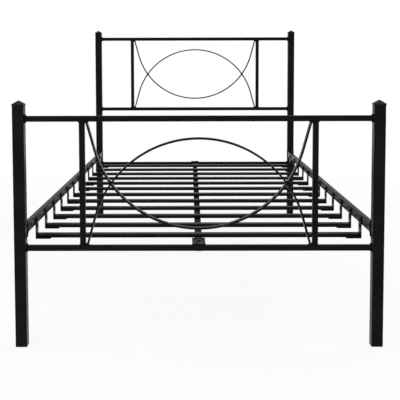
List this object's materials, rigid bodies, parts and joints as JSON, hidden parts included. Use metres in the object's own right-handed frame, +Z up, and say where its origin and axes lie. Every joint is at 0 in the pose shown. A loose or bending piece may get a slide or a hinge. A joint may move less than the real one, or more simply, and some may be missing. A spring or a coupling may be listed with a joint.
{
  "type": "metal bed frame",
  "caption": "Single metal bed frame with arched footboard and headboard panels between square posts, steel slats and a centre beam that carry a mattress.",
  "frame": {"origin": "on the floor, at the middle of the bed's width and length", "axes": "+Z up, +Y from the footboard to the headboard, +X to the right of someone who stands at the footboard and looks at the bed"},
  "size_m": [0.962, 1.972, 0.905],
  "materials": {
    "powder_coat": "satin black powder coat with a fine orange-peel texture",
    "black_plastic": "moulded black plastic with a fine grain",
    "black_steel": "black oxide fasteners",
    "plated_steel": "bright zinc plate"
  },
  "bodies": {
    "root": {"beam_hook_bolts": "black_steel", "beam_hook_foot": "powder_coat", "beam_hook_head": "powder_coat", "beam_hook_screws": "black_steel", "beam_plug_foot": "black_plastic", "beam_plug_head": "black_plastic", "beam_weld_nuts": "plated_steel", "centre_beam": "powder_coat", "end_plate_bolts": "black_steel", "end_plate_washers": "black_steel", "end_plate_weld_nuts": "plated_steel", "foot_hanging_arch": "powder_coat", "foot_lower_rail": "powder_coat", "foot_rising_arch": "powder_coat", "foot_strut_left": "powder_coat", "foot_strut_right": "powder_coat", "foot_upper_rail": "powder_coat", "head_base_rail": "powder_coat", "head_hanging_arch": "powder_coat", "head_lower_rail": "powder_coat", "head_rising_arch": "powder_coat", "head_strut_left": "powder_coat", "head_strut_right": "powder_coat", "head_upper_rail": "powder_coat", "leg_plug_foot_left": "black_plastic", "leg_plug_foot_right": "black_plastic", "leg_plug_head_left": "black_plastic", "leg_plug_head_right": "black_plastic", "post_cap_foot_left": "black_plastic", "post_cap_foot_right": "black_plastic", "post_cap_head_left": "black_plastic", "post_cap_head_right": "black_plastic", "post_foot_left": "powder_coat", "post_foot_right": "powder_coat", "post_head_left": "powder_coat", "post_head_right": "powder_coat", "side_rail_left": "powder_coat", "side_rail_plate_foot_left": "powder_coat", "side_rail_plate_foot_right": "powder_coat", "side_rail_plate_head_left": "powder_coat", "side_rail_plate_head_right": "powder_coat", "side_rail_right": "powder_coat", "slat_01": "powder_coat", "slat_02": "powder_coat", "slat_03": "powder_coat", "slat_04": "powder_coat", "slat_05": "powder_coat", "slat_06": "powder_coat", "slat_07": "powder_coat", "slat_08": "powder_coat", "slat_09": "powder_coat", "slat_10": "powder_coat", "slat_11": "powder_coat", "slat_12": "powder_coat", "slat_bolts": "black_steel", "slat_brackets_left": "powder_coat", "slat_brackets_right": "powder_coat", "slat_weld_nuts": "plated_steel"}
  },
  "joints": []
}
